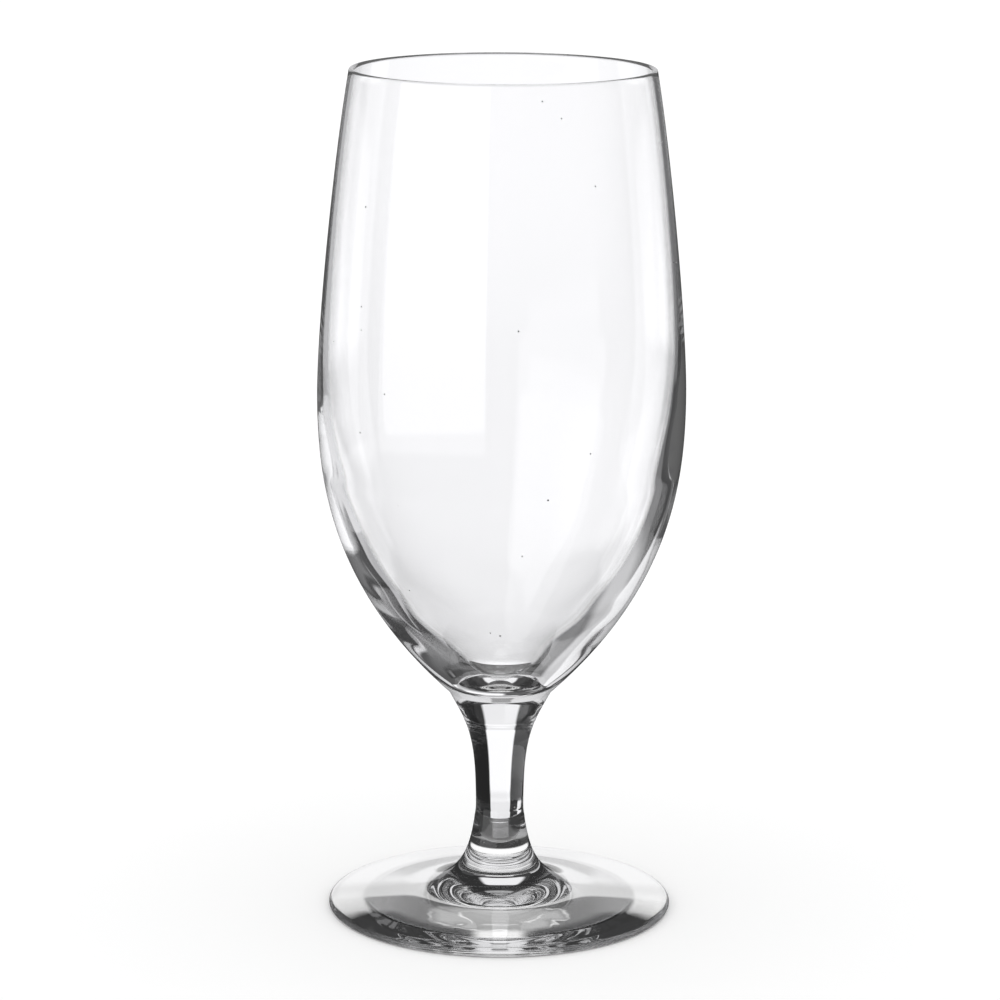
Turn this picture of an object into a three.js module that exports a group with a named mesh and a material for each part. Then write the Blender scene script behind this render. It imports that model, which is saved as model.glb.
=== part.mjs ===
import * as THREE from 'three';

// A stemmed iced tea glass in clear glass, in millimetres with +Z up. Its origin is the middle of the ring
// that it stands on. Three pieces of glass were joined while hot: a pressed foot, a drawn stem and a blown
// bowl. Each is a solid of revolution, and they meet on flat weld faces.
//
// A lean is an outline's angle from upright, in degrees, positive where the glass gets wider upwards.
// A pull is how far a curve holds the direction of its end before it bends away.

// Foot
const footDiameter = 74.9;
const footEdgeThickness = 1.5;
const footSlope = 7.4;
const restRingInnerDiameter = 57;
const hollowHeight = 3.1;
const hollowOuterPull = 15;
const hollowMiddlePull = 8;
const flareDiameter = 43;
const flareOuterPull = 13;
const flareUpperPull = 9;
const footHeight = 20;

// Stem
const lowerWeldDiameter = 10.86;
const lowerWeldLean = -8.6;
const waistDiameter = 10.42;
const waistHeight = 2.8;
const waistLowerPull = 1;
const waistUpperPull = 9.5;
const upperWeldDiameter = 15.6;
const upperWeldLean = 22.5;
const upperWeldPull = 5;
const stemLength = 22;

// Outside of the bowl, with heights above the upper weld
const stubTopLean = 27.4;
const stubPull = 2.2;
const heelDiameter = 22.4;
const heelHeight = 6.6;
const heelLean = 47.1;
const heelPull = 35.6;
const bellyDiameter = 79.1;
const bellyHeight = 72;
const bellyLowerPull = 17.9;
const bellyUpperPull = 14.9;
const rimDiameter = 65.2;
const rimLean = -9.9;
const rimPull = 17.5;
const bowlHeight = 142;

// Inside of the bowl, whose wall thickens steadily from the belly down to a cone with a small round floor
const lipThickness = 1.2;
const insideRimPull = 20.4;
const insideBellyHeight = 78.4;
const insideBellyWall = 1.97;
const insideBellyPull = 11.9;
const heavyWallHeight = 55.4;
const heavyWallThickness = 3.65;
const heavyWallLean = 11.4;
const heavyWallUpperPull = 4.1;
const heavyWallLowerPull = 21.1;
const coneLowerPull = 14.2;
const floorEdgeDiameter = 16.2;
const floorEdgeHeight = 13;
const floorEdgeLean = 49.4;
const floorEdgePull = 2.5;
const floorHeight = 10.8;
const floorPull = 3.2;

// Facets around the axis and along one curve
const sectors = 64;
const longCurveFacets = 8;
const shortCurveFacets = 4;
const roundFacets = 6;

const radians = THREE.MathUtils.degToRad;

// Direction of an outline with the given lean, going up
function upward(lean) {
  return new THREE.Vector2(Math.sin(radians(lean)), Math.cos(radians(lean)));
}

// Smooth curve from a lower to a higher point of an outline, with the lean and pull of each end
function sweep(low, lowLean, lowPull, high, highLean, highPull) {
  const lowHandle = upward(lowLean).multiplyScalar(lowPull).add(low);
  const highHandle = upward(highLean).multiplyScalar(-highPull).add(high);
  return new THREE.CubicBezierCurve(low, lowHandle, highHandle, high);
}

// Radius of a rising curve at a height, found by halving its span
function radiusAtHeight(curve, height) {
  let below = 0;
  let above = 1;
  while (above - below > Number.EPSILON) {
    const middle = (below + above) / 2;
    if (curve.getPoint(middle).y < height) {
      below = middle;
    } else {
      above = middle;
    }
  }
  return curve.getPoint(above).x;
}

// Closed solid turned about Z, from spans of outline that each start where the last one ended
function turned(name, spans, height) {
  const outline = spans.flatMap((span, index) => (index === 0 ? span : span.slice(1)));
  const geometry = new THREE.LatheGeometry(outline, sectors);
  geometry.rotateX(Math.PI / 2);
  const clearGlass = new THREE.MeshStandardMaterial({
    color: 0xf3f6f6,
    roughness: 0.03,
    metalness: 0,
    transparent: true,
    opacity: 0.35,
  });
  const mesh = new THREE.Mesh(geometry, clearGlass);
  mesh.name = name;
  mesh.position.z = height;
  return mesh;
}

const point = (radius, height) => new THREE.Vector2(radius, height);
const lowerWeldRadius = lowerWeldDiameter / 2;
const upperWeldRadius = upperWeldDiameter / 2;

function makeFoot() {
  const ringInnerRadius = restRingInnerDiameter / 2;
  const upperFaceLean = footSlope - 90;
  const hollow = sweep(
    point(ringInnerRadius, 0), upperFaceLean, hollowOuterPull, point(0, hollowHeight), -90, hollowMiddlePull,
  );

  const edgeRadius = footEdgeThickness / 2;
  const edgeCentre = footDiameter / 2 - edgeRadius;
  const slope = radians(footSlope);
  const edge = new THREE.EllipseCurve(
    edgeCentre, edgeRadius, edgeRadius, edgeRadius, -Math.PI / 2, Math.PI / 2 - slope,
  );

  const flareRadius = flareDiameter / 2;
  const edgeTop = edge.getPoint(1);
  const flareStart = point(flareRadius, edgeTop.y + (edgeTop.x - flareRadius) * Math.tan(slope));
  const weldRim = point(lowerWeldRadius, footHeight);
  const flare = sweep(flareStart, upperFaceLean, flareOuterPull, weldRim, lowerWeldLean, flareUpperPull);

  return turned('foot', [
    hollow.getPoints(longCurveFacets).reverse(),
    [point(ringInnerRadius, 0), point(edgeCentre, 0)],
    edge.getPoints(roundFacets),
    [edgeTop, flareStart],
    flare.getPoints(longCurveFacets),
    [weldRim, point(0, footHeight)],
  ], 0);
}

function makeStem() {
  const foot = point(lowerWeldRadius, 0);
  const waist = point(waistDiameter / 2, waistHeight);
  const top = point(upperWeldRadius, stemLength);
  const belowWaist = sweep(foot, lowerWeldLean, waistLowerPull, waist, 0, waistLowerPull);
  const aboveWaist = sweep(waist, 0, waistUpperPull, top, upperWeldLean, upperWeldPull);

  return turned('stem', [
    [point(0, 0), foot],
    belowWaist.getPoints(shortCurveFacets),
    aboveWaist.getPoints(longCurveFacets),
    [top, point(0, stemLength)],
  ], footHeight);
}

function makeBowl() {
  const weldRim = point(upperWeldRadius, 0);
  const heel = point(heelDiameter / 2, heelHeight);
  const belly = point(bellyDiameter / 2, bellyHeight);
  const lipRadius = lipThickness / 2;
  const lipCentre = point(rimDiameter / 2 - lipRadius, bowlHeight - lipRadius);
  const lipStart = -radians(rimLean);
  const lip = new THREE.EllipseCurve(
    lipCentre.x, lipCentre.y, lipRadius, lipRadius, lipStart, lipStart + Math.PI,
  );

  const stub = sweep(weldRim, upperWeldLean, stubPull, heel, stubTopLean, stubPull);
  const lowerWall = sweep(heel, heelLean, heelPull, belly, 0, bellyLowerPull);
  const upperWall = sweep(belly, 0, bellyUpperPull, lip.getPoint(0), rimLean, rimPull);

  const floor = point(0, floorHeight);
  const floorEdge = point(floorEdgeDiameter / 2, floorEdgeHeight);
  const heavyWallRadius = radiusAtHeight(lowerWall, heavyWallHeight) - heavyWallThickness;
  const heavyWall = point(heavyWallRadius, heavyWallHeight);
  const insideBellyRadius = radiusAtHeight(upperWall, insideBellyHeight) - insideBellyWall;
  const insideBelly = point(insideBellyRadius, insideBellyHeight);
  const insideFloor = sweep(floor, 90, floorPull, floorEdge, floorEdgeLean, floorEdgePull);
  const insideCone = sweep(
    floorEdge, floorEdgeLean, coneLowerPull, heavyWall, heavyWallLean, heavyWallLowerPull,
  );
  const insideSwell = sweep(heavyWall, heavyWallLean, heavyWallUpperPull, insideBelly, 0, insideBellyPull);
  const insideWall = sweep(insideBelly, 0, insideBellyPull, lip.getPoint(1), rimLean, insideRimPull);

  return turned('bowl', [
    [point(0, 0), weldRim],
    stub.getPoints(shortCurveFacets),
    lowerWall.getPoints(longCurveFacets),
    upperWall.getPoints(longCurveFacets),
    lip.getPoints(roundFacets),
    insideWall.getPoints(longCurveFacets).reverse(),
    insideSwell.getPoints(shortCurveFacets).reverse(),
    insideCone.getPoints(longCurveFacets).reverse(),
    insideFloor.getPoints(shortCurveFacets).reverse(),
  ], footHeight + stemLength);
}

const glass = new THREE.Group();
glass.add(makeFoot(), makeStem(), makeBowl());

export default glass;
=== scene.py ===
import math

import bpy
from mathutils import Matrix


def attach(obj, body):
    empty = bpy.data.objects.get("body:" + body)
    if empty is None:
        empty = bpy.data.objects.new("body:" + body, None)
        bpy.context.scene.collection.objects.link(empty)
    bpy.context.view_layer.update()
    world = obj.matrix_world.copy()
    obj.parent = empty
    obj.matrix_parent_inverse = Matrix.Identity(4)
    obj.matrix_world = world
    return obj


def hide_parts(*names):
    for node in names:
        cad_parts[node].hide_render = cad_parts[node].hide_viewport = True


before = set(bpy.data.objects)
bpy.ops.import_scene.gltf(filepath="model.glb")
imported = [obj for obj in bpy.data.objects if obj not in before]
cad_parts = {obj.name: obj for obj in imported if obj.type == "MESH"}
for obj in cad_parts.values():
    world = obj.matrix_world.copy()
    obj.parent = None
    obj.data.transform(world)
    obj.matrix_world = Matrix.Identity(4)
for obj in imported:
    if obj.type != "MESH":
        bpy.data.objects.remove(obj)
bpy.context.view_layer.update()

scene = bpy.context.scene
mm = 0.001
print("frame: loaded", ", ".join(sorted(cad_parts)))


# Colours are written as sRGB hex values
def toLinear(hexColour):
    channels = [int(hexColour[i:i + 2], 16) / 255 for i in (1, 3, 5)]
    return (*[c / 12.92 if c <= 0.04045 else ((c + 0.055) / 1.055) ** 2.4 for c in channels], 1.0)


# Feeds are sockets or nodes to link from, or plain values
def addNode(tree, kind, settings=None, feeds=None):
    node = tree.nodes.new(kind)
    for name, value in (settings or {}).items():
        setattr(node, name, value)
    for socket, value in (feeds or {}).items():
        if isinstance(value, bpy.types.Node):
            value = value.outputs[0]
        if isinstance(value, bpy.types.NodeSocket):
            tree.links.new(value, node.inputs[socket])
        else:
            node.inputs[socket].default_value = value
    return node


# Lengths in millimetres
surface = {
    "colour": "#ffffff",
    "index": 1.52,
    "swaySize": 28,
    "swayHeight": 0.05,
    "swayStrength": 0.2,
    "wipeWidth": 0.6,
    "wipeLength": 9,
    "wipeTurn": (0.5, 0.3, 0.7),
    "wipeFaint": 0.58,  # noise at which a wipe mark starts to show
    "wipeFull": 0.75,
    "wipeRoughness": 0.03,
    "dustSize": 0.4,
    "dustSpacing": 10,
    "dustColour": "#9a9a98",
    "lostAfter": 55.5,  # mirrorings in the wall after which light counts as lost
    "paintedWallGlow": 0.15,  # level of the painted grey glow that stands in for lost light
}


# Fire-polished soda-lime glass: colourless and glossy, so its shape shows only by what it bends and
# mirrors, with a trace of dust and of the cloth that wiped it, and a painted grey glow for light caught in
# the wall
def makeClearGlass():
    material = bpy.data.materials.new("firePolishedGlass")
    material.use_nodes = True
    tree = material.node_tree
    tree.nodes.clear()
    place = addNode(tree, "ShaderNodeTexCoord").outputs["Object"]
    sway = addNode(tree, "ShaderNodeTexNoise", None, {
        "Vector": place, "Scale": 1 / (surface["swaySize"] * mm), "Detail": 1.0})
    bump = addNode(tree, "ShaderNodeBump", None, {
        "Height": sway, "Strength": surface["swayStrength"], "Distance": surface["swayHeight"] * mm})
    across, along = (1 / (surface[size] * mm) for size in ("wipeWidth", "wipeLength"))
    wiping = addNode(tree, "ShaderNodeMapping", None, {
        "Vector": place, "Rotation": surface["wipeTurn"], "Scale": (across, along, along)})
    streaks = addNode(tree, "ShaderNodeTexNoise", None, {"Vector": wiping, "Scale": 1.0, "Detail": 2.0})
    wiped = addNode(tree, "ShaderNodeMapRange", None, {
        "Value": streaks, "From Min": surface["wipeFaint"], "From Max": surface["wipeFull"],
        "To Min": 0.0, "To Max": surface["wipeRoughness"]})
    glass = addNode(tree, "ShaderNodeBsdfPrincipled", None, {
        "Base Color": toLinear(surface["colour"]), "Roughness": wiped, "IOR": surface["index"],
        "Transmission Weight": 1.0, "Normal": bump})
    grains = addNode(tree, "ShaderNodeTexVoronoi", None, {
        "Vector": place, "Scale": 1 / (surface["dustSpacing"] * mm)})
    speck = addNode(tree, "ShaderNodeMath", {"operation": "LESS_THAN"}, {
        0: grains.outputs["Distance"], 1: surface["dustSize"] / 2 / surface["dustSpacing"]})
    dust = addNode(tree, "ShaderNodeBsdfDiffuse", None, {"Color": toLinear(surface["dustColour"])})
    dusty = addNode(tree, "ShaderNodeMixShader", None, {0: speck, 1: glass, 2: dust})
    # light still caught in the wall after many mirrorings is shown as a painted even grey glow
    mirrored = addNode(tree, "ShaderNodeLightPath").outputs["Glossy Depth"]
    lost = addNode(tree, "ShaderNodeMath", {"operation": "GREATER_THAN"}, {
        0: mirrored, 1: surface["lostAfter"]})
    paintedGlowShader = addNode(tree, "ShaderNodeEmission", None, {"Strength": surface["paintedWallGlow"]})
    shown = addNode(tree, "ShaderNodeMixShader", None, {0: lost, 1: dusty, 2: paintedGlowShader})
    addNode(tree, "ShaderNodeOutputMaterial", None, {"Surface": shown})
    return material


# Where two pieces of hot glass fused there is no surface left to see
def makeFusedWeld():
    material = bpy.data.materials.new("fusedWeld")
    material.use_nodes = True
    material.node_tree.nodes["Principled BSDF"].inputs["Alpha"].default_value = 0.0
    return material


clearGlass = makeClearGlass()
fusedWeld = makeFusedWeld()
print("materials: fire-polished glass and fused weld")

# Lengths in millimetres
turning = {
    "sectors": 240,
    "creaseAngle": math.radians(32),
    "mergeDistance": 0.001,
    "sameHeight": 1e-6,
    "weldShare": 0.99,  # a face lies on a weld where all its corners do
    "ridgeHeight": 0.05,  # what is left of the bead of glass at a weld
    "ridgeWidth": 0.45,
    "ridgeFrom": 4,  # the bead is outside this radius
    "swayFade": 12,  # height over which a hand-worked sway fades
}

# What each point of an outline carries
rowValueKinds = (("facing", "FLOAT_VECTOR"), ("sway", "FLOAT"), ("bulge", "FLOAT"), ("weld", "FLOAT"))


# Turns an outline about Z: one row of the grid for each point of the outline, one column for each sector
def makeTurningTree():
    tree = bpy.data.node_groups.new("turnedGlass", "GeometryNodeTree")
    for name, kind in (
        ("Outline", "Geometry"), ("Sectors", "Int"), ("Sway Size", "Float"), ("Seed", "Int"),
        ("Crease Angle", "Float"), ("Glass", "Material"), ("Weld", "Material"),
    ):
        tree.interface.new_socket(name, in_out="INPUT", socket_type="NodeSocket" + kind)
    tree.interface.new_socket("Solid", in_out="OUTPUT", socket_type="NodeSocketGeometry")
    given = addNode(tree, "NodeGroupInput").outputs

    count = addNode(tree, "GeometryNodeAttributeDomainSize", None, {"Geometry": given["Outline"]})
    columns = addNode(tree, "ShaderNodeMath", {"operation": "ADD"}, {0: given["Sectors"], 1: 1.0})
    grid = addNode(tree, "GeometryNodeMeshGrid", None, {
        "Size X": 1.0, "Size Y": 1.0, "Vertices X": count.outputs["Point Count"], "Vertices Y": columns})
    index = addNode(tree, "GeometryNodeInputIndex")
    share = addNode(tree, "ShaderNodeMath", {"operation": "DIVIDE"}, {0: index, 1: columns})
    row = addNode(tree, "ShaderNodeMath", {"operation": "FLOOR"}, {0: share})
    column = addNode(tree, "ShaderNodeMath", {"operation": "MODULO"}, {0: index, 1: columns})
    turn = addNode(tree, "ShaderNodeMath", {"operation": "DIVIDE"}, {0: column, 1: given["Sectors"]})
    angle = addNode(tree, "ShaderNodeMath", {"operation": "MULTIPLY"}, {0: turn, 1: -2 * math.pi})

    rowValues = {}
    for name, kind in (("position", "FLOAT_VECTOR"), *rowValueKinds):
        if name == "position":
            source = addNode(tree, "GeometryNodeInputPosition")
        else:
            source = addNode(tree, "GeometryNodeInputNamedAttribute", {"data_type": kind}, {"Name": name})
        rowValues[name] = addNode(tree, "GeometryNodeSampleIndex", {"data_type": kind, "domain": "POINT"}, {
            "Geometry": given["Outline"], "Value": source, "Index": row})
    placed, facing = (
        addNode(tree, "ShaderNodeVectorRotate", {"rotation_type": "Z_AXIS"}, {
            "Vector": rowValues[name], "Angle": angle})
        for name in ("position", "facing"))

    # a hand-worked surface moves along its own direction: a slow sway, and a bulge on the +X side
    scale = addNode(tree, "ShaderNodeMath", {"operation": "DIVIDE"}, {0: 1.0, 1: given["Sway Size"]})
    noise = addNode(tree, "ShaderNodeTexNoise", {"noise_dimensions": "4D"}, {
        "Vector": placed, "W": given["Seed"], "Scale": scale, "Detail": 0.0})
    centred = addNode(tree, "ShaderNodeMath", {"operation": "SUBTRACT"}, {0: noise, 1: 0.5})
    swayed = addNode(tree, "ShaderNodeMath", {"operation": "MULTIPLY"}, {0: centred, 1: rowValues["sway"]})
    side = addNode(tree, "ShaderNodeMath", {"operation": "COSINE"}, {0: angle})
    moved = addNode(tree, "ShaderNodeMath", {"operation": "MULTIPLY_ADD"}, {
        0: side, 1: rowValues["bulge"], 2: swayed})
    shift = addNode(tree, "ShaderNodeVectorMath", {"operation": "SCALE"}, {0: facing, "Scale": moved})
    final = addNode(tree, "ShaderNodeVectorMath", {"operation": "ADD"}, {0: placed, 1: shift})
    bent = addNode(tree, "GeometryNodeSetPosition", None, {"Geometry": grid, "Position": final})
    marked = addNode(tree, "GeometryNodeStoreNamedAttribute", {"data_type": "FLOAT", "domain": "POINT"}, {
        "Geometry": bent, "Name": "weld", "Value": rowValues["weld"]})
    closed = addNode(tree, "GeometryNodeMergeByDistance", None, {
        "Geometry": marked, "Distance": turning["mergeDistance"] * mm})

    smooth = addNode(tree, "GeometryNodeSetShadeSmooth", {"domain": "FACE"}, {
        "Geometry": closed, "Shade Smooth": True})
    bend = addNode(tree, "GeometryNodeInputMeshEdgeAngle")
    crease = addNode(tree, "FunctionNodeCompare", {"operation": "GREATER_THAN"}, {
        0: bend, 1: given["Crease Angle"]})
    creased = addNode(tree, "GeometryNodeSetShadeSmooth", {"domain": "EDGE"}, {
        "Geometry": smooth, "Selection": crease, "Shade Smooth": False})
    onWeld = addNode(tree, "GeometryNodeInputNamedAttribute", {"data_type": "FLOAT"}, {"Name": "weld"})
    weldFaces = addNode(tree, "FunctionNodeCompare", {"operation": "GREATER_THAN"}, {
        0: onWeld, 1: turning["weldShare"]})
    real = addNode(tree, "GeometryNodeRealizeInstances", None, {"Geometry": creased})
    glassed = addNode(tree, "GeometryNodeSetMaterial", None, {"Geometry": real, "Material": given["Glass"]})
    welded = addNode(tree, "GeometryNodeSetMaterial", None, {
        "Geometry": glassed, "Selection": weldFaces, "Material": given["Weld"]})
    addNode(tree, "NodeGroupOutput", None, {"Solid": welded})
    return tree


turnedGlass = makeTurningTree()


# Outlines are lists of (radius, height) in millimetres, from the axis below, outwards and up, and back to
# the axis
def upward(lean):
    return math.sin(math.radians(lean)), math.cos(math.radians(lean))


def sweep(low, lowLean, lowPull, high, highLean, highPull, steps):
    lowWay, highWay = upward(lowLean), upward(highLean)
    lowHandle = [low[i] + lowWay[i] * lowPull for i in (0, 1)]
    highHandle = [high[i] - highWay[i] * highPull for i in (0, 1)]
    ends = (low, lowHandle, highHandle, high)
    points = []
    for step in range(steps + 1):
        t = step / steps
        shares = ((1 - t) ** 3, 3 * t * (1 - t) ** 2, 3 * t * t * (1 - t), t ** 3)
        points.append(tuple(sum(share * end[i] for share, end in zip(shares, ends)) for i in (0, 1)))
    return points


def arc(centre, radius, start, end, steps):
    angles = [start + (end - start) * step / steps for step in range(steps + 1)]
    return [(centre[0] + radius * math.cos(a), centre[1] + radius * math.sin(a)) for a in angles]


def straight(start, end, steps):
    return [
        tuple(start[i] + (end[i] - start[i]) * step / steps for i in (0, 1))
        for step in range(steps + 1)]


def radiusAt(points, height):
    for (r0, z0), (r1, z1) in zip(points, points[1:]):
        if z0 <= height <= z1:
            return r0 + (r1 - r0) * (height - z0) / (z1 - z0)


# Spans are (points, whether hand-worked) pairs, each starting where the last one ended
def turnPiece(name, spans, lift, weldHeights, hand=None):
    rows = []
    for points, worked in spans:
        for radius, height in points[1 if rows else 0:]:
            rows.append((radius, height + lift, worked))
    shaped = []
    for radius, height, _ in rows:
        bead = 0
        if radius > turning["ridgeFrom"]:
            offs = [(height - h) / turning["ridgeWidth"] for h in weldHeights]
            bead = sum(turning["ridgeHeight"] * math.exp(-off ** 2) for off in offs)
        shaped.append(((radius + bead) * mm, 0.0, height * mm))

    outline = bpy.data.meshes.new(name + "Outline")
    outline.from_pydata(shaped, [(i, i + 1) for i in range(len(rows) - 1)], [])
    for label, kind in rowValueKinds:
        outline.attributes.new(label, kind, "POINT")
    facing, sway, bulge, weld = (outline.attributes[label].data for label, _ in rowValueKinds)
    for i, (radius, height, worked) in enumerate(rows):
        before, after = shaped[max(i - 1, 0)], shaped[min(i + 1, len(rows) - 1)]
        way = (after[0] - before[0], after[2] - before[2])
        size = math.hypot(*way)
        facing[i].vector = (0, 0, 1) if radius == 0 and i else (way[1] / size, 0, -way[0] / size)
        if worked:
            fade = min(1, max(0, (hand["swayTop"] - height) / turning["swayFade"] + 0.5))
            sway[i].value = hand["sway"] * mm * fade
            if "bulge" in hand:
                off = (height - hand["bulgeHeight"]) / hand["bulgeSpread"]
                bulge[i].value = hand["bulge"] * mm * math.exp(-off ** 2)
        weld[i].value = 1.0 if any(abs(height - h) < turning["sameHeight"] for h in weldHeights) else 0.0

    piece = bpy.data.objects.new(name, outline)
    scene.collection.objects.link(piece)
    turner = piece.modifiers.new("turn", "NODES")
    turner.node_group = turnedGlass
    wanted = {
        "Sectors": turning["sectors"], "Crease Angle": turning["creaseAngle"],
        "Glass": clearGlass, "Weld": fusedWeld,
    }
    if hand:
        wanted.update({"Sway Size": hand["swaySize"] * mm, "Seed": hand["seed"]})
    for socket in turnedGlass.interface.items_tree:
        if socket.name in wanted:
            turner[socket.identifier] = wanted[socket.name]
    bpy.context.view_layer.update()
    graph = bpy.context.evaluated_depsgraph_get()
    solid = bpy.data.meshes.new_from_object(
        piece.evaluated_get(graph), preserve_all_data_layers=True, depsgraph=graph)
    piece.modifiers.remove(turner)
    piece.data = solid
    solid.name = name
    bpy.data.meshes.remove(outline)
    print(name + ":", len(rows), "points in the outline,", len(solid.polygons), "faces")
    return piece


# In all three pieces lengths are in millimetres, leans in degrees from upright, and steps are how many
# parts a span of the outline has
foot = {
    "diameter": 74.9,
    "edgeThickness": 1.5,
    "slope": 7.4,
    "ringInnerDiameter": 57,
    "hollowHeight": 3.1,
    "hollowOuterPull": 15,
    "hollowMiddlePull": 8,
    "flareDiameter": 43,
    "flareOuterPull": 13,
    "flareUpperPull": 9,
    "height": 20,
    "hand": {"sway": 0.07, "swaySize": 14, "swayTop": 4, "seed": 3},
    "steps": {"hollow": 40, "ring": 8, "edge": 18, "face": 24, "flare": 60, "weld": 2},
}


def makeFoot():
    steps = foot["steps"]
    ringRadius = foot["ringInnerDiameter"] / 2
    faceLean = foot["slope"] - 90
    hollow = sweep(
        (ringRadius, 0), faceLean, foot["hollowOuterPull"],
        (0, foot["hollowHeight"]), -90, foot["hollowMiddlePull"], steps["hollow"])
    edgeRadius = foot["edgeThickness"] / 2
    edgeCentre = (foot["diameter"] / 2 - edgeRadius, edgeRadius)
    slope = math.radians(foot["slope"])
    edge = arc(edgeCentre, edgeRadius, -math.pi / 2, math.pi / 2 - slope, steps["edge"])
    flareRadius = foot["flareDiameter"] / 2
    flareStart = (flareRadius, edge[-1][1] + (edge[-1][0] - flareRadius) * math.tan(slope))
    weldRim = (stem["lowerDiameter"] / 2, foot["height"])
    flare = sweep(
        flareStart, faceLean, foot["flareOuterPull"],
        weldRim, stem["lowerLean"], foot["flareUpperPull"], steps["flare"])
    return turnPiece("footGlass", [
        (hollow[::-1], True),
        (straight((ringRadius, 0), (edgeCentre[0], 0), steps["ring"]), False),
        (edge, False),
        (straight(edge[-1], flareStart, steps["face"]), False),
        (flare, False),
        (straight(weldRim, (0, foot["height"]), steps["weld"]), False),
    ], 0, [lowerWeld], foot["hand"])


stem = {
    "lowerDiameter": 10.86,
    "lowerLean": -8.6,
    "waistDiameter": 10.42,
    "waistHeight": 2.8,
    "waistLowerPull": 1,
    "waistUpperPull": 9.5,
    "upperDiameter": 15.6,
    "upperLean": 22.5,
    "upperPull": 5,
    "length": 22,
    "steps": {"weld": 2, "belowWaist": 16, "aboveWaist": 70},
}


def makeStem():
    steps = stem["steps"]
    base = (stem["lowerDiameter"] / 2, 0)
    waist = (stem["waistDiameter"] / 2, stem["waistHeight"])
    top = (stem["upperDiameter"] / 2, stem["length"])
    belowWaist = sweep(
        base, stem["lowerLean"], stem["waistLowerPull"],
        waist, 0, stem["waistLowerPull"], steps["belowWaist"])
    aboveWaist = sweep(
        waist, 0, stem["waistUpperPull"],
        top, stem["upperLean"], stem["upperPull"], steps["aboveWaist"])
    return turnPiece("stemGlass", [
        (straight((0, 0), base, steps["weld"]), False),
        (belowWaist, False),
        (aboveWaist, False),
        (straight(top, (0, stem["length"]), steps["weld"]), False),
    ], lowerWeld, [lowerWeld, upperWeld])


bowl = {
    "stubTopLean": 27.4,
    "stubPull": 2.2,
    "heelDiameter": 22.4,
    "heelHeight": 6.6,
    "heelLean": 47.1,
    "heelPull": 35.6,
    "bellyDiameter": 79.1,
    "bellyHeight": 72,
    "bellyLowerPull": 17.9,
    "bellyUpperPull": 14.9,
    "rimDiameter": 65.2,
    "rimLean": -9.9,
    "rimPull": 17.5,
    "height": 142,
    "lipThickness": 1.2,
    "insideRimPull": 20.4,
    "insideBellyHeight": 78.4,
    "insideBellyWall": 1.97,
    "insideBellyPull": 11.9,
    "heavyWallHeight": 55.4,
    "heavyWall": 3.65,
    "heavyWallLean": 11.4,
    "heavyWallUpperPull": 4.1,
    "heavyWallLowerPull": 21.1,
    "coneLowerPull": 14.2,
    "floorEdgeDiameter": 16.2,
    "floorEdgeHeight": 13,
    "floorEdgeLean": 49.4,
    "floorEdgePull": 2.5,
    "floorHeight": 10.8,
    "floorPull": 3.2,
    # the inside sways a little below and its wall is thicker on the +X side
    "hand": {
        "sway": 0.4, "swaySize": 13, "swayTop": 78, "seed": 11,
        "bulge": 0.3, "bulgeHeight": 101, "bulgeSpread": 16,
    },
    "steps": {
        "weld": 2, "stub": 24, "lowerWall": 60, "upperWall": 50, "lip": 20,
        "insideWall": 44, "insideSwell": 36, "insideCone": 60, "insideFloor": 30,
    },
}


def makeBowl():
    steps = bowl["steps"]
    weldRim = (stem["upperDiameter"] / 2, 0)
    heel = (bowl["heelDiameter"] / 2, bowl["heelHeight"])
    belly = (bowl["bellyDiameter"] / 2, bowl["bellyHeight"])
    lipRadius = bowl["lipThickness"] / 2
    lipStart = -math.radians(bowl["rimLean"])
    lipCentre = (bowl["rimDiameter"] / 2 - lipRadius, bowl["height"] - lipRadius)
    lip = arc(lipCentre, lipRadius, lipStart, lipStart + math.pi, steps["lip"])
    stub = sweep(
        weldRim, stem["upperLean"], bowl["stubPull"],
        heel, bowl["stubTopLean"], bowl["stubPull"], steps["stub"])
    lowerWall = sweep(
        heel, bowl["heelLean"], bowl["heelPull"],
        belly, 0, bowl["bellyLowerPull"], steps["lowerWall"])
    upperWall = sweep(
        belly, 0, bowl["bellyUpperPull"],
        lip[0], bowl["rimLean"], bowl["rimPull"], steps["upperWall"])
    heavyHeight, insideHeight = bowl["heavyWallHeight"], bowl["insideBellyHeight"]
    heavyWall = (radiusAt(lowerWall, heavyHeight) - bowl["heavyWall"], heavyHeight)
    insideBelly = (radiusAt(upperWall, insideHeight) - bowl["insideBellyWall"], insideHeight)
    floorEdge = (bowl["floorEdgeDiameter"] / 2, bowl["floorEdgeHeight"])
    insideFloor = sweep(
        (0, bowl["floorHeight"]), 90, bowl["floorPull"],
        floorEdge, bowl["floorEdgeLean"], bowl["floorEdgePull"], steps["insideFloor"])
    insideCone = sweep(
        floorEdge, bowl["floorEdgeLean"], bowl["coneLowerPull"],
        heavyWall, bowl["heavyWallLean"], bowl["heavyWallLowerPull"], steps["insideCone"])
    insideSwell = sweep(
        heavyWall, bowl["heavyWallLean"], bowl["heavyWallUpperPull"],
        insideBelly, 0, bowl["insideBellyPull"], steps["insideSwell"])
    insideWall = sweep(
        insideBelly, 0, bowl["insideBellyPull"],
        lip[-1], bowl["rimLean"], bowl["insideRimPull"], steps["insideWall"])
    return turnPiece("bowlGlass", [
        (straight((0, 0), weldRim, steps["weld"]), False),
        (stub, False),
        (lowerWall, False),
        (upperWall, False),
        (lip, False),
        (insideWall[::-1], True),
        (insideSwell[::-1], True),
        (insideCone[::-1], True),
        (insideFloor[::-1], True),
    ], upperWeld, [upperWeld], bowl["hand"])


lowerWeld = foot["height"]
upperWeld = foot["height"] + stem["length"]
for piece, node in ((makeFoot(), "foot"), (makeStem(), "stem"), (makeBowl(), "bowl")):
    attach(piece, "root")
    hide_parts(node)

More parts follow.
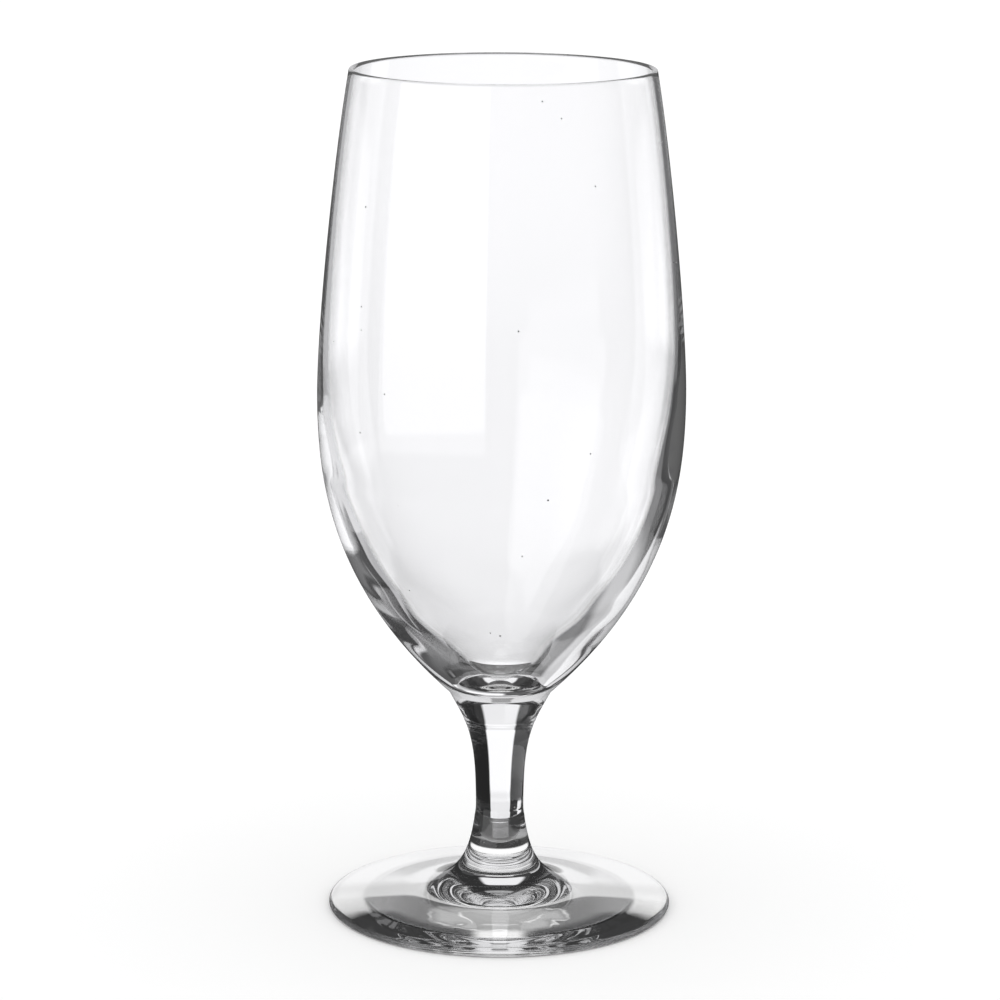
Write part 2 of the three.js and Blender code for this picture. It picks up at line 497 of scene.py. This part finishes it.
# What the glass shows of the studio, sorted by how the light went: straight through one piece or through
# both walls of the bowl, mirrored on the outside, or mirrored inside the glass once, twice, often, many
# times or nearly without end. What the front and back walls mirror is added to what is mirrored once.
# Angles are in degrees: across is to the right of straight back, rise is above level. A later patch covers
# an earlier one. A patch is its name, across, rise, softness of its edge and level, where 1 is white.
studio = {
    "through": {"passes": (0, 3), "mirrorings": (0, 0), "base": 0.018, "patches": [
        ("left side", (-180, 0), (-90, 90), 4, 0.035),
        ("left wall", (-75, -19), (-12.5, 12), 2, 0.085),
        ("table back", (-19.5, 16.5), (-34, -16), 0.5, 0.9),
        ("table below", (-190, 190), (-100, -50), 8, 1.0),
        ("table left", (-64, -26), (-60, -28), 2, 1.0),
        ("table gap", (-60, -40), (-32, -17), 1, 1.0),
        ("backdrop top", (-18.5, 17), (5, 36), 2, 0.93),
        ("backdrop", (-19.5, 17.5), (-16.5, 11), 1.5, 1.1),
        ("left card", (-105, -75), (-12, 30), 3, 1.0),
        ("front right card", (115, 155), (-26, 12), 3, 1.0),
    ]},
    "walls": {"passes": (4, 99), "mirrorings": (0, 0), "base": 1.098, "patches": [
        ("backdrop top", (-190, 190), (-10.5, 40), 3, 1.172),
        ("table", (-190, 190), (-100, -22), 7, 0.955),
        ("left edge card", (-44, -15), (-34, -13), 3, 1.25),
        ("left belly card", (-44, -16.5), (-24.5, -13), 2, 1.5),
        ("left low card", (-44, -8), (-19, -13), 1.5, 1.25),
        ("left upper card", (-50, -6), (-13, 12), 1.2, 1.32),
        ("left rim card", (-50, -8.8), (-13, 12), 1.5, 1.65),
        ("right side", (3.5, 44), (-20, -5), 1.5, 1.14),
        ("right edge card", (15, 44), (-34, -13), 3, 1.25),
        ("right belly card", (16.5, 44), (-24.5, -13), 2, 1.5),
        ("right low card", (8.5, 44), (-21, -13), 1.5, 1.22),
        ("right upper card", (6, 50), (-13, 12), 1.2, 1.28),
        ("right rim card", (9, 50), (-13, 12), 1.5, 1.65),
        ("table under", (-190, 190), (-100, -54), 3, 1.3),
    ]},
    "outside": {"passes": (0, 0), "mirrorings": (1, 99), "base": 0.03, "patches": [
        ("backdrop", (-20, 20), (-1, 15), 2, 0.9),
        ("softbox", (-170, -98), (-15.5, 14), 0.8, 0.9),
    ]},
    "frontWall": {"passes": (1, 3), "mirrorings": (1, 1), "base": 0.0, "patches": [
        ("softbox", (-170, -98), (-22.5, 60), 1.2, 1.3),
    ]},
    "backWall": {"passes": (4, 99), "mirrorings": (1, 1), "base": 0.0, "patches": [
        ("softbox end", (-162, -109), (-17, 30), 1.2, 0.8),
        ("softbox", (-168, -103), (-12.5, 60), 2, 1.15),
    ]},
    "once": {"passes": (1, 99), "mirrorings": (1, 1), "base": 0.03, "patches": [
        ("table under", (-60, 60), (-100, -50), 3, 0.45),
        ("table low left", (-40, 2), (-52, -42), 2, 0.08),
        ("table low right", (2, 40), (-52, -42), 2, 0.28),
        ("left wall", (-75, -21.5), (-44, 1), 1.2, 0.7),
        ("left flag", (-20.5, -6), (-17, 25), 0.8, 0.055),
        ("left table", (-22, -12), (-24, -17), 1, 0.6),
        ("left table edge", (-60, -31.5), (-46, -34), 2, 0.55),
        ("low left flag", (-31.5, 0), (-43, -26), 1, 0.05),
        ("low left table", (-13.5, 0), (-42, -17.5), 0.8, 0.12),
        ("left gap", (-18.5, -15.5), (-42, -28), 0.8, 0.4),
        ("right wall", (6, 50), (-46, 1), 1.5, 0.23),
        ("far right wall", (50, 75), (-46, 1), 1.5, 0.8),
        ("right flag", (16.5, 27.5), (-19, 8), 0.8, 0.07),
        ("low right flag", (13.5, 33), (-27, -17.5), 1, 0.05),
        ("right table", (0, 70), (-42, -30), 3, 0.6),
        ("low right table", (-2, 20), (-43, -30), 2, 0.75),
        ("low right card", (-2, 16), (-34, -20.5), 1.5, 1.25),
        ("backdrop", (-9, 8.5), (-18, -3), 1.2, 1.0),
        ("backdrop above", (-16, 12), (8, 38), 2, 0.95),
        ("overhead", (-40, 40), (58, 84), 2, 0.4),
    ]},
    "twice": {"passes": (1, 99), "mirrorings": (2, 2), "base": 0.03, "patches": [
        ("backdrop", (-30, 30), (-30, 20), 3, 0.2),
        ("backdrop middle", (-13, 12), (-20, 20), 2, 0.85),
        ("table back", (-34, 34), (-52, -31), 3, 1.0),
        ("table under", (-190, 190), (-100, -54), 3, 0.45),
        ("softbox", (-176, -98), (-20, 60), 1.2, 0.4),
    ]},
    "often": {"passes": (1, 99), "mirrorings": (3, 7), "base": 0.07, "patches": [
        ("front left", (-190, -150), (-30, 60), 4, 0.16),
        ("front right", (150, 190), (-30, 60), 4, 0.16),
        ("left card", (-118, -66), (4, 28), 3, 0.8),
        ("right card", (86, 112), (2, 30), 2, 0.9),
        ("backdrop", (-26, 26), (-40, 32), 3, 0.55),
        ("backdrop middle", (-15, 13), (-58, 30), 3, 0.92),
        ("overhead", (-70, 70), (30, 66), 4, 0.85),
        ("overhead shade", (-12, 10), (36, 50), 2, 0.3),
        ("overhead", (-190, 190), (66, 100), 4, 0.6),
    ]},
    "many": {"passes": (1, 99), "mirrorings": (8, 22), "base": 0.05, "patches": [
        ("left card", (-118, -66), (4, 28), 3, 0.6),
        ("right card", (86, 112), (2, 30), 2, 0.6),
        ("right edge card", (14, 33), (-30, 30), 3, 0.2),
        ("left edge card", (-56, -38), (-34, -18), 2, 0.9),
        ("overhead", (-190, 190), (44, 100), 4, 0.7),
        ("front right", (120, 190), (5, 40), 4, 0.24),
        ("softbox", (-180, -95), (-2, 40), 3, 0.85),
    ]},
    "trapped": {"passes": (1, 99), "mirrorings": (23, 999), "base": 0.07, "patches": [
        ("right side", (60, 190), (-15, 32), 3, 0.14),
        ("left side", (-120, -26), (-2, 14), 3, 0.45),
        ("backdrop", (-30, 12), (-20, 30), 2, 0.5),
        ("overhead", (-70, 70), (30, 62), 3, 0.65),
        ("low softbox", (-180, -120), (-15, 14), 3, 0.18),
        ("softbox", (-180, -92), (11, 60), 2, 1.35),
    ]},
}
studioWhite = {"inGlass": "#fdfdff", "plain": "#ffffff"}


def makeWorld():
    world = bpy.data.worlds.new("studio")
    scene.world = world
    world.use_nodes = True
    tree = world.node_tree
    tree.nodes.clear()
    direction = addNode(tree, "ShaderNodeTexCoord").outputs["Generated"]
    way = addNode(tree, "ShaderNodeSeparateXYZ", None, {0: direction}).outputs
    turn = addNode(tree, "ShaderNodeMath", {"operation": "ARCTAN2"}, {0: way["X"], 1: way["Y"]})
    tilt = addNode(tree, "ShaderNodeMath", {"operation": "ARCSINE"}, {0: way["Z"]})
    both = addNode(tree, "ShaderNodeCombineXYZ", None, {0: turn, 1: tilt})
    angles = addNode(tree, "ShaderNodeVectorMath", {"operation": "SCALE"}, {
        0: both, "Scale": 180 / math.pi})

    # share of a patch at a direction: 1 within its rounded outline, 0 outside
    def covered(across, rise, soft):
        rounded = min(2 * soft, (across[1] - across[0]) / 2, (rise[1] - rise[0]) / 2)
        middle = (sum(across) / 2, sum(rise) / 2, 0)
        half = ((across[1] - across[0]) / 2 - rounded, (rise[1] - rise[0]) / 2 - rounded, 0)
        off = addNode(tree, "ShaderNodeVectorMath", {"operation": "SUBTRACT"}, {0: angles, 1: middle})
        size = addNode(tree, "ShaderNodeVectorMath", {"operation": "ABSOLUTE"}, {0: off})
        past = addNode(tree, "ShaderNodeVectorMath", {"operation": "SUBTRACT"}, {0: size, 1: half})
        past = addNode(tree, "ShaderNodeVectorMath", {"operation": "MAXIMUM"}, {0: past, 1: (0, 0, 0)})
        far = addNode(tree, "ShaderNodeVectorMath", {"operation": "LENGTH"}, {0: past}).outputs["Value"]
        return addNode(tree, "ShaderNodeMapRange", {"interpolation_type": "SMOOTHSTEP"}, {
            "Value": far, "From Min": rounded + soft, "From Max": rounded - soft})

    def mixed(share, first, second):
        return addNode(tree, "ShaderNodeMix", {"data_type": "FLOAT"}, {0: share, 2: first, 3: second})

    # depths are whole numbers, so a slack of less than a half takes in both ends and no more
    depthSlack = 0.4

    def counted(depth, least, most):
        return addNode(tree, "ShaderNodeMath", {"operation": "COMPARE"}, {
            0: depth, 1: (least + most) / 2, 2: (most - least) / 2 + depthSlack})

    path = addNode(tree, "ShaderNodeLightPath").outputs
    total = 0.0
    for kind in studio.values():
        level = kind["base"]
        for _, across, rise, soft, brightness in kind["patches"]:
            level = mixed(covered(across, rise, soft), level, brightness)
        passed = counted(path["Transmission Depth"], *kind["passes"])
        mirrored = counted(path["Glossy Depth"], *kind["mirrorings"])
        seen = addNode(tree, "ShaderNodeMath", {"operation": "MULTIPLY"}, {0: passed, 1: mirrored})
        total = addNode(tree, "ShaderNodeMath", {"operation": "MULTIPLY_ADD"}, {
            0: seen, 1: level, 2: total})

    # plain white for the camera and for the light that falls on the floor, a trace of blue in the glass
    matt = addNode(tree, "ShaderNodeMath", {"operation": "GREATER_THAN"}, {
        0: path["Diffuse Depth"], 1: 0.5})
    plain = addNode(tree, "ShaderNodeMath", {"operation": "MAXIMUM"}, {0: path["Is Camera Ray"], 1: matt})
    white = addNode(tree, "ShaderNodeMix", {"data_type": "RGBA"}, {
        0: plain, 6: toLinear(studioWhite["inGlass"]), 7: toLinear(studioWhite["plain"])})
    light = addNode(tree, "ShaderNodeBackground", None, {
        "Color": white.outputs[2], "Strength": mixed(plain, total, 1.0)})
    addNode(tree, "ShaderNodeOutputWorld", None, {"Surface": light})


makeWorld()
print("studio:", sum(len(kind["patches"]) for kind in studio.values()), "lit patches between dark sides")

# Lengths in millimetres
floorLook = {"size": 6000, "drop": 0.1, "colour": "#f6f6f6", "lift": 0.16}


# Smooth white table top: matt enough to carry a soft shadow, white where nothing shades it
def makeFloor():
    mesh = bpy.data.meshes.new("tableTop")
    half = floorLook["size"] * mm / 2
    corners = [(-half, -half), (half, -half), (half, half), (-half, half)]
    mesh.from_pydata([(x, y, -floorLook["drop"] * mm) for x, y in corners], [], [(0, 1, 2, 3)])
    table = bpy.data.objects.new("tableTop", mesh)
    scene.collection.objects.link(table)
    material = bpy.data.materials.new("mattWhiteLaminate")
    material.use_nodes = True
    tree = material.node_tree
    tree.nodes.clear()
    matt = addNode(tree, "ShaderNodeBsdfDiffuse", None, {"Color": toLinear(floorLook["colour"])})
    seen = addNode(tree, "ShaderNodeLightPath").outputs["Is Camera Ray"]
    strength = addNode(tree, "ShaderNodeMath", {"operation": "MULTIPLY"}, {0: seen, 1: floorLook["lift"]})
    glow = addNode(tree, "ShaderNodeEmission", None, {"Strength": strength})
    both = addNode(tree, "ShaderNodeAddShader", None, {0: matt, 1: glow})
    addNode(tree, "ShaderNodeOutputMaterial", None, {"Surface": both})
    mesh.materials.append(material)
    table.visible_transmission = False
    table.visible_glossy = False


makeFloor()
print("floor: white table top")

# Lengths in millimetres, levels of painted light and shade where 1 is white. A pair is where a fade starts
# and where it is full, and a streak is its start and width as shares of the painted pool of light.
underFoot = {
    "radius": 37.4,
    "drop": 0.05,
    "corners": 96,
    "line": {"middle": (0.5, 2.5), "bend": 200, "back": 0.8, "front": 0.17, "side": 0.29, "sides": (17, 27)},
    "glow": {"inner": 16, "outer": 26, "soft": 2.5, "start": (3, 10), "level": 0.9},
    "pool": {
        "across": 15, "along": 11, "ahead": 14, "rim": (1.55, 1.2), "level": 0.5,
        "wander": 7, "detail": 1.5, "distortion": 0.6, "bend": 0.9,
        "streaks": ((1.02, 0.07), (1.42, 0.05)), "streakSoft": 0.04, "streakGaps": (0.42, 0.58),
        "streak": 0.95,
    },
    "ring": {"inner": (28.8, 30.2), "end": (-17, -10), "turn": (-3, 8), "front": 1.25, "back": 0.97},
    "crescent": {
        "inner": 25, "outer": 38, "from": 7, "to": 30.5, "soft": 2, "start": (-10, -14), "level": 0.006,
    },
    "tip": {"half": 5, "soft": 1.5, "start": (-22, -26), "level": 1.1},
    "deep": {"half": 8, "soft": 1, "reach": (0, 22), "near": 0.38, "far": 0.12, "level": 0.05},
    "once": {
        "half": 6.5, "soft": 1, "near": 8.5, "far": 26, "block": 1.1,
        "turn": (1, -3), "back": 0.05, "front": 0.36,
    },
    "twice": 0.03,
    "often": {"half": 8, "soft": 2, "middle": 0.9, "level": 0.05},
    "many": 0.04,
}


# The table right under the foot, as the glass shows it, is a glowing disc of painted light and shade:
# painted light at the ring, painted shade in the hollow and below the stem, and a painted pool of light in
# front
def makeUnderFoot():
    mesh = bpy.data.meshes.new("underFoot")
    count, radius = underFoot["corners"], underFoot["radius"] * mm
    angles = [2 * math.pi * i / count for i in range(count)]
    corners = [(radius * math.cos(a), radius * math.sin(a), -underFoot["drop"] * mm) for a in angles]
    mesh.from_pydata(corners, [], [list(range(count))])
    disc = bpy.data.objects.new("underFoot", mesh)
    scene.collection.objects.link(disc)
    material = bpy.data.materials.new("paintedLightAndShadeDisc")
    material.use_nodes = True
    tree = material.node_tree
    tree.nodes.clear()
    place = addNode(tree, "ShaderNodeTexCoord").outputs["Object"]
    sized = addNode(tree, "ShaderNodeVectorMath", {"operation": "SCALE"}, {0: place, "Scale": 1 / mm})
    x, y, _ = addNode(tree, "ShaderNodeSeparateXYZ", None, {0: sized}).outputs
    aside = addNode(tree, "ShaderNodeMath", {"operation": "ABSOLUTE"}, {0: x})
    out = addNode(tree, "ShaderNodeVectorMath", {"operation": "LENGTH"}, {0: sized}).outputs["Value"]

    def eased(value, start, end, low=0.0, high=1.0):
        return addNode(tree, "ShaderNodeMapRange", {"interpolation_type": "SMOOTHSTEP"}, {
            "Value": value, "From Min": start, "From Max": end, "To Min": low, "To Max": high})

    def times(first, second):
        return addNode(tree, "ShaderNodeMath", {"operation": "MULTIPLY"}, {0: first, 1: second})

    def between(value, low, high, soft):
        return times(eased(value, low - soft, low + soft), eased(value, high + soft, high - soft))

    def inMiddle(size):
        return eased(aside, size["half"] + size["soft"], size["half"] - size["soft"])

    def mixed(share, first, second):
        return addNode(tree, "ShaderNodeMix", {"data_type": "FLOAT"}, {0: share, 2: first, 3: second})

    # behind a bent line the hollow shows painted lit table and a painted glowing band, in front of it
    # painted shade
    line, glow = underFoot["line"], underFoot["glow"]
    bend = addNode(tree, "ShaderNodeMath", {"operation": "MULTIPLY_ADD"}, {
        0: times(x, x), 1: 1 / line["bend"], 2: y})
    shade = eased(aside, *line["sides"], line["front"], line["side"])
    level = mixed(eased(bend, *line["middle"]), shade, line["back"])
    glowing = times(between(out, glow["inner"], glow["outer"], glow["soft"]), eased(y, *glow["start"]))
    level = mixed(glowing, level, glow["level"])

    # the painted pool of light is an oval with two wandering painted streaks of light
    pool = underFoot["pool"]
    noise = addNode(tree, "ShaderNodeTexNoise", None, {
        "Vector": sized, "Scale": 1 / pool["wander"], "Detail": pool["detail"],
        "Distortion": pool["distortion"]})
    middle = addNode(tree, "ShaderNodeVectorMath", {"operation": "ADD"}, {
        0: sized, 1: (0, pool["ahead"], 0)})
    oval = addNode(tree, "ShaderNodeVectorMath", {"operation": "DIVIDE"}, {
        0: middle, 1: (pool["across"], pool["along"], 1)})
    reach = addNode(tree, "ShaderNodeVectorMath", {"operation": "LENGTH"}, {0: oval}).outputs["Value"]
    bent = addNode(tree, "ShaderNodeMath", {"operation": "MULTIPLY_ADD"}, {
        0: noise, 1: pool["bend"], 2: reach})
    level = mixed(eased(bent, *pool["rim"]), level, pool["level"])
    for start, width in pool["streaks"]:
        streak = between(bent, start, start + width, pool["streakSoft"])
        level = mixed(times(streak, eased(noise, *pool["streakGaps"])), level, pool["streak"])

    # the flat ring has painted light behind and beside the stem, and painted dark crescents in front but for
    # a painted bright tip
    ring, crescent, tip = (underFoot[name] for name in ("ring", "crescent", "tip"))
    sides = times(eased(out, *ring["inner"]), eased(y, *ring["end"]))
    level = mixed(sides, level, eased(y, *ring["turn"], ring["front"], ring["back"]))
    dark = times(
        between(out, crescent["inner"], crescent["outer"], crescent["soft"]),
        between(aside, crescent["from"], crescent["to"], crescent["soft"]))
    level = mixed(times(dark, eased(y, *crescent["start"])), level, crescent["level"])
    level = mixed(times(inMiddle(tip), eased(y, *tip["start"])), level, tip["level"])

    # through the stem and after mirrorings inside the glass only the middle has painted light, the rest
    # painted shade
    path = addNode(tree, "ShaderNodeLightPath").outputs
    deep, once, often = (underFoot[name] for name in ("deep", "once", "often"))

    def beyond(depth, count):
        return addNode(tree, "ShaderNodeMath", {"operation": "GREATER_THAN"}, {
            0: path[depth], 1: count + 0.5})

    below = mixed(inMiddle(deep), deep["level"], eased(y, *deep["reach"], deep["near"], deep["far"]))
    level = mixed(beyond("Transmission Depth", 3), level, below)
    block = times(inMiddle(once), between(y, once["near"], once["far"], once["soft"]))
    mirroredOnce = mixed(block, eased(y, *once["turn"], once["back"], once["front"]), once["block"])
    mirroredOften = mixed(inMiddle(often), often["level"], often["middle"])
    level = mixed(beyond("Glossy Depth", 0), level, mirroredOnce)
    level = mixed(beyond("Glossy Depth", 1), level, underFoot["twice"])
    level = mixed(beyond("Glossy Depth", 2), level, mirroredOften)
    level = mixed(beyond("Glossy Depth", 7), level, underFoot["many"])
    # the disc glows with its painted light and shade; it is no lamp
    shown = addNode(tree, "ShaderNodeEmission", None, {"Strength": level})
    addNode(tree, "ShaderNodeOutputMaterial", None, {"Surface": shown})
    mesh.materials.append(material)
    disc.visible_camera = False
    disc.visible_diffuse = False
    disc.visible_shadow = False


makeUnderFoot()
print("under the foot: ring, hollow and pool of light")

# Where the photograph was taken from, in millimetres and degrees
view = {
    "away": 815, "up": 270, "aside": -0.24, "down": 12.4, "roll": 0.286, "lens": 139.25, "sensor": 36,
}
camera = bpy.data.objects.new("camera", bpy.data.cameras.new("camera"))
camera.data.lens = view["lens"]
camera.data.sensor_width = view["sensor"]
camera.location = (view["aside"] * mm, -view["away"] * mm, view["up"] * mm)
camera.rotation_euler = (math.radians(90 - view["down"]), 0, 0)
camera.rotation_euler.rotate_axis("Z", math.radians(view["roll"]))
scene.collection.objects.link(camera)
scene.camera = camera
print("camera: set at the photograph's viewing angle")

scene.view_settings.view_transform = "Standard"
# Light goes round many times in the glass before it leaves
scene.cycles.max_bounces = 64
scene.cycles.transmission_bounces = 28
scene.cycles.glossy_bounces = 60
scene.cycles.transparent_max_bounces = 32
scene.cycles.caustics_refractive = False
scene.cycles.caustics_reflective = False
